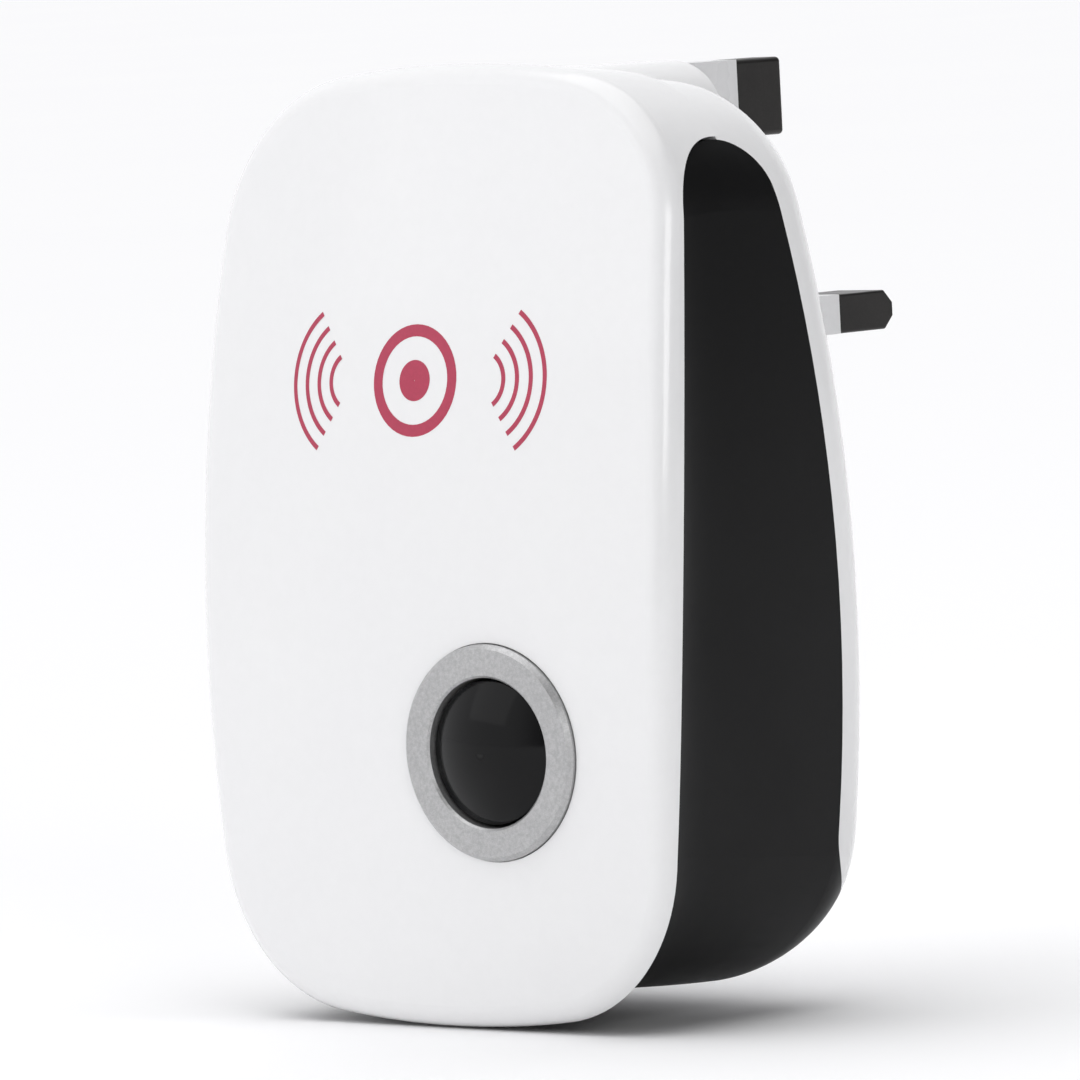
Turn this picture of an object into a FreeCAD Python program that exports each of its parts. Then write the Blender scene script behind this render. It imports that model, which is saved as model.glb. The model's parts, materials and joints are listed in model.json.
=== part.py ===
import FreeCAD, Part
import math
import os
import Sketcher
from FreeCAD import Placement, Rotation, Vector

# Plug-in ultrasonic pest repeller with a push button, for a three-pin wall socket.
# The part's frame: X to the right seen from the front, +Y into the wall, +Z up; the origin is on the
# plug's flat face, midway between the line and neutral pins.
# The case has a frame of its own: it leans back from the wall by lean_angle, its origin is the front
# face's highest point at mid height, y is the depth behind that point. CASE takes it to the part's frame.

SIZES = {
    # case
    "case_width": 63.8, "case_height": 96, "side_arc": 400, "end_arc": 130, "corner_radius": 17,
    "face_arc_across": 230, "face_arc_up": 250, "face_edge_radius": 2.6, "wall": 2,
    "lean_angle": 4.4, "plug_depth": 41, "pin_rise": 19.5,
    # behind the front cover the case draws in, mostly underneath, then runs straight back
    "neck_start": 4.5, "neck_rise": 2.6, "neck_tuck": 0.7, "cover_overhang": 0.4, "end_overhang": 0.6,
    "tuck_depth": 4.5, "side_taper": 0.012, "rise_depth": 3.5, "top_droop": 0.0011, "corner_growth": -3,
    "growth_depth": 6,
    # side view: the front cover's edge, the black band's rear edge and the case's back
    "seam_depth": 15, "cover_edge_depth": 4.8, "cover_edge_arc": 480, "cover_edge_level": -6,
    "band_gap": 0.3, "leaf_top_level": 40.4, "leaf_front_radius": 8.3,
    "leaf_back_radius": 6.4, "band_back_depth": 30.2, "band_back_level": -27, "band_back_arc": 215,
    "band_turn_level": -28.5, "band_turn_radius": 8,
    "back_bulge": 7, "back_bottom_radius": 17.5, "back_bottom_level": -27.7, "back_edge_radius": 7,
    # button and its ring, on the surface of the front cover
    "button_across": 9.7, "button_level": -20.4, "ring_radius": 10.8, "ring_bore": 7.5,
    "ring_proud": 0.55, "ring_sink": 1.1, "ring_bevel": 0.45, "collar_radius": 8.6, "collar_depth": 4,
    "button_radius": 7.15, "button_rise": 1.5, "button_dome": 15.8, "button_flange": 8.3,
    "flange_play": 0.2, "flange_thick": 1, "button_bore": 6.1, "button_hollow_top": 1.2,
    "stem_radius": 1.6, "stem_reach": 8.65,
    "assembly_gap": 0.1, "button_travel": 0.6,
    # circuit board and switch
    "board_depth": 15, "board_thick": 1.6, "board_width": 40, "board_height": 59.5, "board_level": 2.2,
    "switch_width": 6.2, "switch_thick": 3.6, "plunger_radius": 1.7, "plunger_slack": 0.07, "bore_play": 0.2,
    "plunger_length": 3.2, "plunger_depth": 9.95,
    # plug, a standard three-pin pattern
    "pin_spacing": 22.23, "pin_width": 6.35, "pin_thick": 4, "pin_length": 17.7, "sleeve_length": 9.3,
    "pin_core_width": 4.4, "pin_core_thick": 2.7, "pin_tip_chamfer": 1.3, "pin_root": 9,
    "earth_width": 4, "earth_height": 8, "earth_length": 16.3, "earth_core_width": 2.7,
    "earth_core_height": 5, "earth_edge": 0.5,
    "plate_half_width": 18.3, "plate_top_half_width": 8.5, "plate_bottom": -10, "plate_top": 26.6,
    "plate_corner": 6.7, "plate_reach": 16, "plate_step": 1.6, "plate_flange": 1.5,
    "plate_flange_width": 31, "plate_flange_height": 17, "plate_wall": 1.8, "plate_edge": 0.3,
    "retainer_width": 25.4, "retainer_thick": 2, "retainer_height": 4.8, "retainer_post": 6,
    "lead_radius": 0.8,
    # screws, bosses and wells
    "boss_radius": 3.4, "case_screw_across": 23.7, "case_screw_top": 27, "case_screw_bottom": -20,
    "boss_end": 21.8, "well_radius": 4.3, "head_radius": 2.8, "head_thick": 2, "shank_radius": 1.4,
    "screw_length": 12, "head_seat": 24, "head_play": 0.4, "recess_depth": 0.8,
    "board_boss_radius": 2.3, "board_screw_across": 16.5, "board_screw_top": 27,
    "board_screw_bottom": -23, "board_head_radius": 2.1, "board_head_thick": 1.4,
    "board_shank_radius": 0.95, "board_screw_length": 7,
    # sound outlet underneath
    "transducer_radius": 6.5, "transducer_height": 10, "transducer_depth": 17.2,
    "transducer_bottom": -41.8, "gasket_thick": 0.7, "gasket_bore": 5.2, "mesh_thick": 0.2,
    "collar_wall": 1.4, "collar_height": 5, "collar_root": 1.5,
    "slot_width": 1.2, "slot_length": 9, "slot_pitch": 2.2,
}

doc = FreeCAD.newDocument("pest_repeller")
sheet = doc.addObject("Spreadsheet::Sheet", "Size")
for row, (alias, number) in enumerate(SIZES.items(), start=1):
    sheet.set(f"A{row}", alias)
    sheet.set(f"B{row}", str(number))
    sheet.setAlias(f"B{row}", alias)
doc.recompute()


# A size is written as text, such as "case_width/2 - wall": terms joined by + and -, each an alias or a
# plain number with an optional divisor. It is read as a number here and as an expression by FreeCAD.

def terms(text):
    sign = 1
    for word in text.split():
        if word in ("+", "-"):
            sign = -1 if word == "-" else 1
            continue
        name, _, divisor = word.partition("/")
        yield sign, name, divisor or "1"
        sign = 1


def value(text):
    total = 0.0
    for sign, name, divisor in terms(text):
        number = float(sheet.get(name)) if name in SIZES else float(name)
        total += sign * number / float(divisor)
    return total


def expression(text):
    words = []
    for sign, name, divisor in terms(text):
        cell = f"Size.{name}" if name in SIZES else name
        words.append(f"{'-' if sign < 0 else '+'} {cell} / {divisor}")
    return "0 " + " ".join(words)


def bind(thing, setting, text):
    thing.setExpression(setting, expression(text))


# ---- sketches and features ----

def new_body(name):
    return doc.addObject("PartDesign::Body", name)


def sketch_on(body, plane, name, offset="0"):
    """A sketch on one of the body's own origin planes, moved along the plane's normal by offset."""
    sketch = body.newObject("Sketcher::SketchObject", name)
    origin_plane = [item for item in body.Origin.OriginFeatures if item.Role == plane][0]
    sketch.AttachmentSupport = [(origin_plane, "")]
    sketch.MapMode = "FlatFace"
    sketch.AttachmentOffset = Placement(Vector(0, 0, value(offset)), Rotation())
    bind(sketch, "AttachmentOffset.Base.z", offset)
    return sketch


def rule(sketch, text, *constraint):
    """Adds a dimension and ties it to the sheet."""
    index = sketch.addConstraint(Sketcher.Constraint(*constraint, value(text)))
    bind(sketch, f"Constraints[{index}]", text)


def polygon(sketch, corners):
    """A closed outline of straight lines through corners, each a pair of size texts."""
    points = [Vector(value(across), value(up), 0) for across, up in corners]
    count = len(points)
    lines = [sketch.addGeometry(Part.LineSegment(points[i], points[(i + 1) % count])) for i in range(count)]
    for i in range(count):
        sketch.addConstraint(Sketcher.Constraint("Coincident", lines[i], 2, lines[(i + 1) % count], 1))
    for line, (across, up) in zip(lines, corners):
        rule(sketch, across, "DistanceX", -1, 1, line, 1)
        rule(sketch, up, "DistanceY", -1, 1, line, 1)


def rectangle(sketch, left, right, bottom, top):
    polygon(sketch, [(left, bottom), (right, bottom), (right, top), (left, top)])


def arc_path(sketch, pieces):
    """A closed outline: each piece is an arc (centre, radius text, start, end in degrees) or a line."""
    indexes = []
    for piece in pieces:
        if len(piece) == 2:
            indexes.append(sketch.addGeometry(Part.LineSegment(*[Vector(*point, 0) for point in piece])))
            continue
        centre, radius, start, end = piece
        ring = Part.Circle(Vector(*centre, 0), Vector(0, 0, 1), value(radius))
        low, high = sorted((math.radians(start), math.radians(end)))
        indexes.append(sketch.addGeometry(Part.ArcOfCircle(ring, low, high)))
        rule(sketch, radius, "Radius", indexes[-1])
    return indexes


def pad(body, sketch, length, backwards=False, both_sides=False):
    feature = body.newObject("PartDesign::Pad", sketch.Name + "_pad")
    feature.Profile = sketch
    feature.SideType = "Symmetric" if both_sides else "One side"
    feature.Reversed = backwards
    feature.Length = value(length)
    bind(feature, "Length", length)
    sketch.Visibility = False
    return feature


def pocket(body, sketch, length, backwards=False, both_sides=False):
    before = body_volume(body)
    feature = body.newObject("PartDesign::Pocket", sketch.Name + "_pocket")
    feature.Profile = sketch
    feature.SideType = "Symmetric" if both_sides else "One side"
    feature.Reversed = backwards
    feature.Length = value(length)
    bind(feature, "Length", length)
    if body_volume(body) > before - 1e-6:
        raise ValueError(f"{feature.Name} cuts nothing")
    return feature


def body_volume(body):
    doc.recompute()
    return body.Shape.Volume


def dress(body, kind, size, chosen):
    """A fillet or chamfer on the edges of the body's tip that chosen(edge) picks."""
    doc.recompute()
    base = body.Tip
    names = [f"Edge{i}" for i, edge in enumerate(base.Shape.Edges, start=1) if chosen(edge)]
    feature = body.newObject("PartDesign::" + kind, f"{body.Name}_{kind.lower()}")
    feature.Base = (base, names)
    setting = "Radius" if kind == "Fillet" else "Size"
    setattr(feature, setting, value(size))
    bind(feature, setting, size)
    doc.recompute()
    return feature


def cylinder(name, radius, height, start, direction):
    """A cylinder of the case's frame from start along direction."""
    thing = doc.addObject("Part::Cylinder", name)
    bind(thing, "Radius", radius)
    bind(thing, "Height", height)
    thing.Placement = Placement(start, Rotation(Vector(0, 0, 1), direction))
    return thing


def box(name, length, width, height, corner):
    thing = doc.addObject("Part::Box", name)
    bind(thing, "Length", length)
    bind(thing, "Width", width)
    bind(thing, "Height", height)
    thing.Placement = Placement(corner, Rotation())
    return thing


def fuse(name, things):
    thing = doc.addObject("Part::MultiFuse", name)
    thing.Shapes = things
    return thing


def cut(name, base, tool):
    thing = doc.addObject("Part::Cut", name)
    thing.Base = base
    thing.Tool = tool
    return thing


def common(name, base, tool):
    thing = doc.addObject("Part::Common", name)
    thing.Base = base
    thing.Tool = tool
    return thing


def group(name, things):
    thing = doc.addObject("Part::Compound", name)
    thing.Links = things
    return thing


subparts = []


def finish(thing, label, placement):
    """Names a finished sub-part and puts it in its place in the part's frame."""
    doc.recompute()
    thing.Label = label
    thing.Placement = placement
    subparts.append(thing)


BACK = Vector(0, 1, 0)
HERE = Placement()
CASE = Placement(Vector(0, -value("plug_depth"), -value("pin_rise")),
                 Rotation(Vector(1, 0, 0), -value("lean_angle")))


# ---- the case's shape ----

def face_depth(across, up):
    """How far the domed front face lies behind its highest point."""
    level = value("face_arc_across") - math.sqrt(value("face_arc_across") ** 2 - across ** 2)
    rise = value("face_arc_up")
    return rise - math.sqrt((rise - level) ** 2 - up ** 2)


def outline(sketch, half_width, top, bottom, corner):
    """A rounded rectangle with bowed sides and ends, symmetrical in x: eight tangent arcs."""
    side, end = value("side_arc"), value("end_arc")
    middle = (top + bottom) / 2
    half_height = (top - bottom) / 2
    side_centre = Vector(half_width - side, 0, 0)
    end_centre = Vector(0, half_height - end, 0)
    # the corner's centre is (side - corner) from one centre and (end - corner) from the other
    span = end_centre - side_centre
    reach = span.Length
    along = ((side - corner) ** 2 - (end - corner) ** 2 + reach ** 2) / (2 * reach)
    off = math.sqrt((side - corner) ** 2 - along ** 2)
    unit = span * (1 / reach)
    centre = side_centre + unit * along + Vector(-unit.y, unit.x, 0) * off
    turn_side = math.degrees(math.atan2(centre.y - side_centre.y, centre.x - side_centre.x))
    turn_end = math.degrees(math.atan2(centre.y - end_centre.y, centre.x - end_centre.x))
    arcs = [((side_centre.x, middle), side, -turn_side, turn_side),
            ((centre.x, middle + centre.y), corner, turn_side, turn_end),
            ((0, middle + end_centre.y), end, turn_end, 180 - turn_end),
            ((-centre.x, middle + centre.y), corner, 180 - turn_end, 180 - turn_side),
            ((-side_centre.x, middle), side, 180 - turn_side, 180 + turn_side),
            ((-centre.x, middle - centre.y), corner, 180 + turn_side, 180 + turn_end),
            ((0, middle - end_centre.y), end, 180 + turn_end, 360 - turn_end),
            ((centre.x, middle - centre.y), corner, 360 - turn_end, 360 - turn_side)]
    indexes = []
    for (across, up), radius, start, stop in arcs:
        ring = Part.Circle(Vector(across, up, 0), Vector(0, 0, 1), radius)
        indexes.append(sketch.addGeometry(Part.ArcOfCircle(ring, math.radians(start), math.radians(stop))))
    for i, index in enumerate(indexes):
        sketch.addConstraint(Sketcher.Constraint("Coincident", index, 2, indexes[(i + 1) % 8], 1))


def front_form(name, inset):
    """The front cover's outside, or its inside when inset is the wall: outline, dome and edge round."""
    body = new_body(name)
    flat = sketch_on(body, "XZ_Plane", name + "_outline", "1")
    outline(flat, value("case_width/2") - inset, value("case_height/2") - inset,
            -value("case_height/2") + inset, value("corner_radius") - inset)
    pad(body, flat, "seam_depth + 1" if inset == 0 else "seam_depth + 2", backwards=True)
    arc_sketch = sketch_on(body, "XY_Plane", name + "_dome")
    reach, front = value("case_width"), -30
    radius = value("face_arc_across")
    half = math.degrees(math.asin(reach / radius))
    edge = radius - math.sqrt(radius ** 2 - reach ** 2) + inset
    arc_path(arc_sketch, [((0, radius + inset), "face_arc_across", 270 - half, 270 + half),
                          ((reach, edge), (reach, front)), ((reach, front), (-reach, front)),
                          ((-reach, front), (-reach, edge))])
    height = value("face_arc_up") + inset
    axis = arc_sketch.addGeometry(Part.LineSegment(Vector(-10, height, 0), Vector(10, height, 0)), True)
    arc_sketch.addConstraint(Sketcher.Constraint("Horizontal", axis))
    before = body_volume(body)
    dome = body.newObject("PartDesign::Groove", name + "_groove")
    dome.Profile = arc_sketch
    dome.ReferenceAxis = (arc_sketch, ["Axis0"])
    dome.Midplane = True
    dome.Angle = 40
    if body_volume(body) > before - 1:
        raise ValueError("the dome cuts nothing")
    # the rim's edges lie in the front part; the outline's own corners reach back past it
    rim_end = value("seam_depth/2 + 3")
    dress(body, "Fillet", "face_edge_radius" if inset == 0 else "face_edge_radius/2",
          lambda edge: edge.BoundBox.YMax < rim_end and edge.BoundBox.YMin > inset
          and on_dome(edge, inset))
    return body


def on_dome(edge, inset):
    """Whether both ends of an edge lie on the domed face."""
    return all(abs(face_depth(point.x, point.z) + inset - point.y) < 0.6
               for point in [vertex.Point for vertex in edge.Vertexes])


HULL_DEPTHS = [8, 11, 15, 21, 30, 42]


def hull_form(name, inset):
    """The case behind the front cover, as a solid: a loft of outlines cut off by the curved back."""
    body = new_body(name)
    start = value("neck_start")
    sketches = []
    for number, depth in enumerate([start] + HULL_DEPTHS):
        past = depth - start
        hollow = past / value("tuck_depth")
        tuck = value("neck_tuck") * hollow * math.exp(1 - hollow) + value("side_taper") * past
        rise = value("neck_rise") * (1 - math.exp(-past / value("rise_depth")))
        drop = value("top_droop") * past ** 2
        level = sketch_on(body, "XZ_Plane", f"{name}_level{number}", f"- {depth}")
        outline(level, value("case_width/2 - cover_overhang") - tuck - inset,
                value("case_height/2 - cover_overhang") - drop - inset,
                -value("case_height/2 - end_overhang") + rise + inset,
                value("corner_radius") + value("corner_growth") * (1 - math.exp(-past / value("growth_depth")))
                - inset)
        sketches.append(level)
    loft = body.newObject("PartDesign::AdditiveLoft", name + "_loft")
    loft.Profile = sketches[0]
    loft.Sections = sketches[1:]
    loft.Ruled = False
    doc.recompute()
    back_cut(body, name, inset)
    if inset == 0:
        dress(body, "Fillet", "back_edge_radius", on_back_rim)
    return body


def on_back_rim(edge):
    """Whether an edge lies where the curved back meets the sides and the top."""
    middle = edge.valueAt((edge.FirstParameter + edge.LastParameter) / 2)
    return all(back_gap(point) < 0.05 for point in [middle] + [v.Point for v in edge.Vertexes]) \
        and edge.BoundBox.ZLength + edge.BoundBox.XLength > 0.5 and middle.z > -38


def back_gap(point):
    """How far a point is from the curved back in side view."""
    radius = value("band_back_arc + back_bulge")
    centre = Vector(value("band_back_depth - band_back_arc"), value("band_back_level"), 0)
    low_radius = value("back_bottom_radius")
    low_centre = Vector(value("band_back_depth + back_bulge - back_bottom_radius"),
                        value("back_bottom_level"), 0)
    flat = Vector(point.y, point.z, 0)
    depth = value("band_back_depth + back_bulge")
    gaps = [abs((flat - centre).Length - radius), abs((flat - low_centre).Length - low_radius)]
    if value("back_bottom_level") <= point.z <= value("band_back_level"):
        gaps.append(abs(point.y - depth))
    return min(gaps)


def back_cut(body, name, inset):
    """Cuts away everything behind the back: a long arc above, a straight, a round below."""
    shape = sketch_on(body, "YZ_Plane", name + "_back")
    depth = value("band_back_depth + back_bulge") - inset
    level, low = value("band_back_level"), value("back_bottom_level")
    radius_text = "band_back_arc + back_bulge" + (" - wall" if inset else "")
    low_text = "back_bottom_radius" + (" - wall" if inset else "")
    radius, low_radius = value(radius_text), value(low_text)
    top = math.degrees(math.asin((60 - level) / radius))
    top_point = (depth - radius + radius * math.cos(math.radians(top)), 60)
    bottom_point = (depth - low_radius, low - low_radius)
    far, under = 60, -60
    arc_path(shape, [((depth - radius, level), radius_text, 0, top),
                     ((depth, level), (depth, low)),
                     ((depth - low_radius, low), low_text, -90, 0),
                     (bottom_point, (bottom_point[0], under)),
                     ((bottom_point[0], under), (far, under)),
                     ((far, under), (far, top_point[1])),
                     ((far, top_point[1]), top_point)])
    pocket(body, shape, "case_width + case_width", both_sides=True)


def tangent_centre(big_centre, big_radius, small_radius, level, side):
    """Centre of a small circle at a level, inside a big one and tangent to it; side is -1 at the front."""
    reach = big_radius - small_radius
    return big_centre[0] + side * math.sqrt(reach ** 2 - (level - big_centre[1]) ** 2), level


def angle_from(centre, point):
    return math.degrees(math.atan2(point[1] - centre[1], point[0] - centre[0])) % 360


def point_at(centre, radius, angle):
    turn = math.radians(angle)
    return centre[0] + radius * math.cos(turn), centre[1] + radius * math.sin(turn)


def leaf_path(sketch, gap, whole_rear):
    """The side view of the black band: a leaf with a round top, open below the case.

    With whole_rear set the outline takes in everything behind the front cover's edge instead.
    """
    under, far = -60, 60
    top = value("leaf_top_level") - gap
    front_arc, back_arc = value("cover_edge_arc"), value("band_back_arc")
    front, back = value("leaf_front_radius") - gap, value("leaf_back_radius")
    front_text = "leaf_front_radius" + (" - band_gap" if gap else "")
    front_centre = (value("cover_edge_depth") + gap + front_arc, value("cover_edge_level"))
    back_centre = (value("band_back_depth - band_back_arc"), value("band_back_level"))
    small_front = tangent_centre(front_centre, front_arc, front, top - front, -1)
    small_back = tangent_centre(back_centre, back_arc, back, top - back, 1)
    front_turn = angle_from(front_centre, small_front)
    back_turn = angle_from(back_centre, small_back)
    low_turn = 180 + math.degrees(math.asin((front_centre[1] - under) / front_arc))
    low = point_at(front_centre, front_arc, low_turn)
    pieces = [(front_centre, "cover_edge_arc", front_turn, low_turn),
              (small_front, front_text, 90, front_turn)]
    if whole_rear:
        pieces += [((small_front[0], top), (far, top)), ((far, top), (far, under)), ((far, under), low)]
    else:
        depth, turn = value("band_back_depth"), value("band_turn_level")
        corner = value("band_turn_radius")
        pieces += [((small_front[0], top), (small_back[0], top)),
                   (small_back, "leaf_back_radius", back_turn, 90),
                   (back_centre, "band_back_arc", 0, back_turn),
                   ((depth, back_centre[1]), (depth, turn)),
                   ((depth + corner, turn), "band_turn_radius", 180, 270),
                   ((depth + corner, turn - corner), (far, turn - corner)),
                   ((far, turn - corner), (far, under)), ((far, under), low)]
    arc_path(sketch, pieces)


# ---- front cover ----

NORMAL_STEP = 0.01
button_across, button_level = value("button_across"), value("button_level")
button_spot = Vector(button_across, face_depth(button_across, button_level), button_level)
slope_across = (face_depth(button_across + NORMAL_STEP, button_level)
                - face_depth(button_across - NORMAL_STEP, button_level)) / (2 * NORMAL_STEP)
slope_up = (face_depth(button_across, button_level + NORMAL_STEP)
            - face_depth(button_across, button_level - NORMAL_STEP)) / (2 * NORMAL_STEP)
OUTWARD = Vector(slope_across, -1, slope_up).normalize()
# the button's frame: its origin is on the face, +z outward
BUTTON = Placement(button_spot, Rotation(Vector(0, 0, 1), OUTWARD))

case_screws = [(side * value("case_screw_across"), value(level))
               for side in (-1, 1) for level in ("case_screw_top", "case_screw_bottom")]
board_screws = [(-value("board_screw_across"), value("board_screw_top")),
                (value("board_screw_across"), value("board_screw_top")),
                (-value("board_screw_across"), value("board_screw_bottom"))]


def bosses(name, places, radius, end):
    """Posts from inside the front cover's face back to the depth end."""
    posts = []
    for number, (across, up) in enumerate(places):
        start = Vector(across, face_depth(across, up) + 1, up)
        post = cylinder(f"{name}{number}", radius, "1", start, BACK)
        bind(post, "Height", f"{end} - {start.y + 0.002:.3f}")
        posts.append(post)
    return posts


def bores(name, places, radius, length, end):
    """Holes of a given length that open at the depth end."""
    return [cylinder(f"{name}{number}", radius, length, Vector(across, value(end) - value(length) + 0.01, up),
                     BACK) for number, (across, up) in enumerate(places)]


def front_cover():
    outer = front_form("cover_outside", 0)
    inner = front_form("cover_inside", value("wall"))
    trim_body = new_body("cover_trim")
    side = sketch_on(trim_body, "YZ_Plane", "cover_side_view")
    leaf_path(side, 0, True)
    pad(trim_body, side, "case_width + 20", both_sides=True)
    shell = cut("cover_shell", cut("cover_hollowed", outer, inner), trim_body)
    posts = bosses("case_boss", case_screws, "boss_radius", "boss_end")
    posts += bosses("board_boss", board_screws, "board_boss_radius", "board_depth")
    posted = fuse("cover_posted", [shell] + posts)
    holes = bores("case_bore", case_screws, "shank_radius", "screw_length", "boss_end")
    holes += bores("board_bore", board_screws, "board_shank_radius", "board_screw_length", "board_depth")
    holes.append(turned_cutter("button_hole", [("0", "- 10"), ("collar_radius + assembly_gap", "- 10"),
                                               ("collar_radius + assembly_gap", "- ring_sink"),
                                               ("ring_radius + assembly_gap", "- ring_sink"),
                                               ("ring_radius + assembly_gap", "5"), ("0", "5")]))
    finish(cut("front_cover", posted, fuse("cover_holes", holes)), "front_cover", CASE)


def turned(name, corners):
    """A body turned about its own z axis from corners given as (radius, height)."""
    body = new_body(name)
    half = sketch_on(body, "XZ_Plane", name + "_half")
    polygon(half, corners)
    turn = body.newObject("PartDesign::Revolution", name + "_turn")
    turn.Profile = half
    turn.ReferenceAxis = (half, ["V_Axis"])
    turn.Angle = 360
    return body


def turned_cutter(name, corners):
    body = turned(name, corners)
    body.Placement = BUTTON
    return body


# ---- button and ring ----

def bezel_ring():
    ring = turned("bezel_ring", [
        ("ring_bore", "- collar_depth"), ("collar_radius", "- collar_depth"),
        ("collar_radius", "- ring_sink"), ("ring_radius", "- ring_sink"),
        ("ring_radius", "ring_proud - ring_bevel"), ("ring_radius - ring_bevel", "ring_proud"),
        ("ring_bore + ring_bevel/2", "ring_proud"), ("ring_bore", "ring_proud - ring_bevel/2")])
    finish(ring, "bezel_ring", CASE.multiply(BUTTON))


def button_cap():
    """A domed cap with a flange behind the ring's collar and a stem that presses the switch."""
    body = new_body("button_cap")
    flange_top = "- collar_depth - flange_play"
    flange_low = "- collar_depth - flange_play - flange_thick"
    half = sketch_on(body, "XZ_Plane", "button_half")
    corners = [("button_radius", flange_top), ("button_flange", flange_top),
               ("button_flange", flange_low), ("button_bore", flange_low),
               ("button_bore", "- button_hollow_top"), ("stem_radius", "- button_hollow_top"),
               ("stem_radius", "- stem_reach"), ("0", "- stem_reach")]
    radius = value("button_dome")
    top = value("button_rise")
    drop = radius - math.sqrt(radius ** 2 - value("button_radius") ** 2)
    points = [(value("button_radius"), top - drop)]
    points += [(value(across), value(up)) for across, up in corners]
    start = angle_from((0, top - radius), points[0])
    pieces = [((0, top - radius), "button_dome", start, 90)]
    pieces += [(points[i], points[i + 1]) for i in range(len(points) - 1)]
    pieces.append((points[-1], (0, top)))
    arc_path(half, pieces)
    turn = body.newObject("PartDesign::Revolution", "button_turn")
    turn.Profile = half
    turn.ReferenceAxis = (half, ["V_Axis"])
    turn.Angle = 360
    finish(body, "button_cap", CASE.multiply(BUTTON))


# ---- rear cover and black band, cut from one shell ----

def plate_block(name, margin, start, end):
    """A solid block of the part's frame with the plug plate's outline, from y = start to y = end.

    The outline is a shield: four equal rounds, wide apart below and close together above.
    """
    body = new_body(name)
    face = sketch_on(body, "XZ_Plane", name + "_outline", f"- {end}" if end else "0")
    radius = value("plate_corner") + margin
    wide, narrow = value("plate_half_width - plate_corner"), value("plate_top_half_width - plate_corner")
    low, high = value("plate_bottom + plate_corner"), value("plate_top - plate_corner")
    slant = math.degrees(math.atan2(wide - narrow, high - low))
    centres = [(wide, low), (narrow, high), (-narrow, high), (-wide, low)]
    turns = [(-90, slant), (slant, 90), (90, 180 - slant), (180 - slant, 270)]
    pieces = []
    for number, (centre, (first, last)) in enumerate(zip(centres, turns)):
        pieces.append((centre, f"plate_corner + {margin}", first, last))
        following = centres[(number + 1) % 4]
        pieces.append((point_at(centre, radius, last), point_at(following, radius, last)))
    arc_path(face, pieces)
    pad(body, face, str(end - start))
    return body


def case_shell():
    """The hollow shell behind the front cover, and the two shapes that divide it."""
    outer = hull_form("hull_outside", 0)
    inner = hull_form("hull_inside", value("wall"))
    shell = cut("hull_shell", outer, inner)
    leaf_body = new_body("leaf")
    side = sketch_on(leaf_body, "YZ_Plane", "leaf_side_view")
    leaf_path(side, value("band_gap"), False)
    pad(leaf_body, side, "case_width + 20", both_sides=True)
    return outer, shell, leaf_body


def side_band(shell, leaf_body):
    """The black U: both sides and the underside, with slots and a collar for the transducer."""
    band = common("band_blank", shell, leaf_body)
    middle = Vector(0, value("transducer_depth"), value("transducer_bottom - gasket_thick - collar_root"))
    collar = doc.addObject("Part::Cylinder", "transducer_collar")
    bind(collar, "Radius", "transducer_radius + assembly_gap + collar_wall")
    bind(collar, "Height", "collar_height + collar_root")
    collar.Placement = Placement(middle, Rotation())
    seat = doc.addObject("Part::Cylinder", "transducer_seat")
    bind(seat, "Radius", "transducer_radius + assembly_gap")
    seat.Height = 20
    seat.Placement = Placement(Vector(0, middle.y, middle.z + value("collar_root - mesh_thick")), Rotation())
    slots = []
    for number in range(-2, 3):
        corner = Vector(number * value("slot_pitch") - value("slot_width/2"),
                        middle.y - value("slot_length/2"), -value("case_height/2"))
        slots.append(box(f"slot{number + 3}", "slot_width", "slot_length", "10", corner))
    whole = cut("side_band", fuse("band_collared", [band, collar]), fuse("band_holes", [seat] + slots))
    finish(whole, "side_band", CASE)


def rear_cover(outer, shell, leaf_body):
    """The white back: screw wells, and a window for the plug plate."""
    front = box("ahead_of_seam", "case_width + 10", "seam_depth + 10", "case_height + 20",
                Vector(-value("case_width/2 + 5"), -10, -value("case_height/2 + 10")))
    blank = cut("rear_blank", cut("rear_with_leaf", shell, leaf_body), front)
    wells, holes = [], []
    floor = value("head_seat") - value("wall")
    for number, (across, up) in enumerate(case_screws):
        post = cylinder(f"well{number}", "well_radius", "20", Vector(across, floor, up), BACK)
        wells.append(common(f"well_trimmed{number}", post, outer))
        holes.append(cylinder(f"well_hole{number}", "head_radius + head_play", "20",
                              Vector(across, value("head_seat"), up), BACK))
        holes.append(cylinder(f"screw_hole{number}", "shank_radius + 0.1", "10",
                              Vector(across, floor - 1, up), BACK))
    opening = plate_block("plug_window", value("assembly_gap") - value("plate_step"),
                          -value("plate_reach + plate_flange") - 0.2, 0)
    opening.Placement = CASE.inverse()
    whole = cut("rear_cover", fuse("rear_welled", [blank] + wells), fuse("rear_holes", holes + [opening]))
    finish(whole, "rear_cover", CASE)


def screws(name, places, seat, head_radius, head_thick, shank_radius, length):
    """Pan-head screws pointing towards the front, with a cross recess."""
    made = []
    for number, (across, up) in enumerate(places):
        at = Vector(across, value(seat), up)
        head = cylinder(f"{name}_head{number}", head_radius, head_thick, at, BACK)
        shank = cylinder(f"{name}_shank{number}", shank_radius + " - 0.05", length,
                         at - BACK * (value(length) - 0.01), BACK)
        long, short = value(head_radius), value(head_radius) / 4
        top = at + BACK * (value(head_thick) - value("recess_depth"))
        bars = [box(f"{name}_bar{number}", str(long), "2", str(short), top - Vector(long / 2, 0, short / 2)),
                box(f"{name}_cross{number}", str(short), "2", str(long), top - Vector(short / 2, 0, long / 2))]
        made.append(cut(f"{name}{number}", fuse(f"{name}_blank{number}", [head, shank]),
                        fuse(f"{name}_recess{number}", bars)))
    finish(group(name, made), name, CASE)


# ---- plug ----

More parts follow.
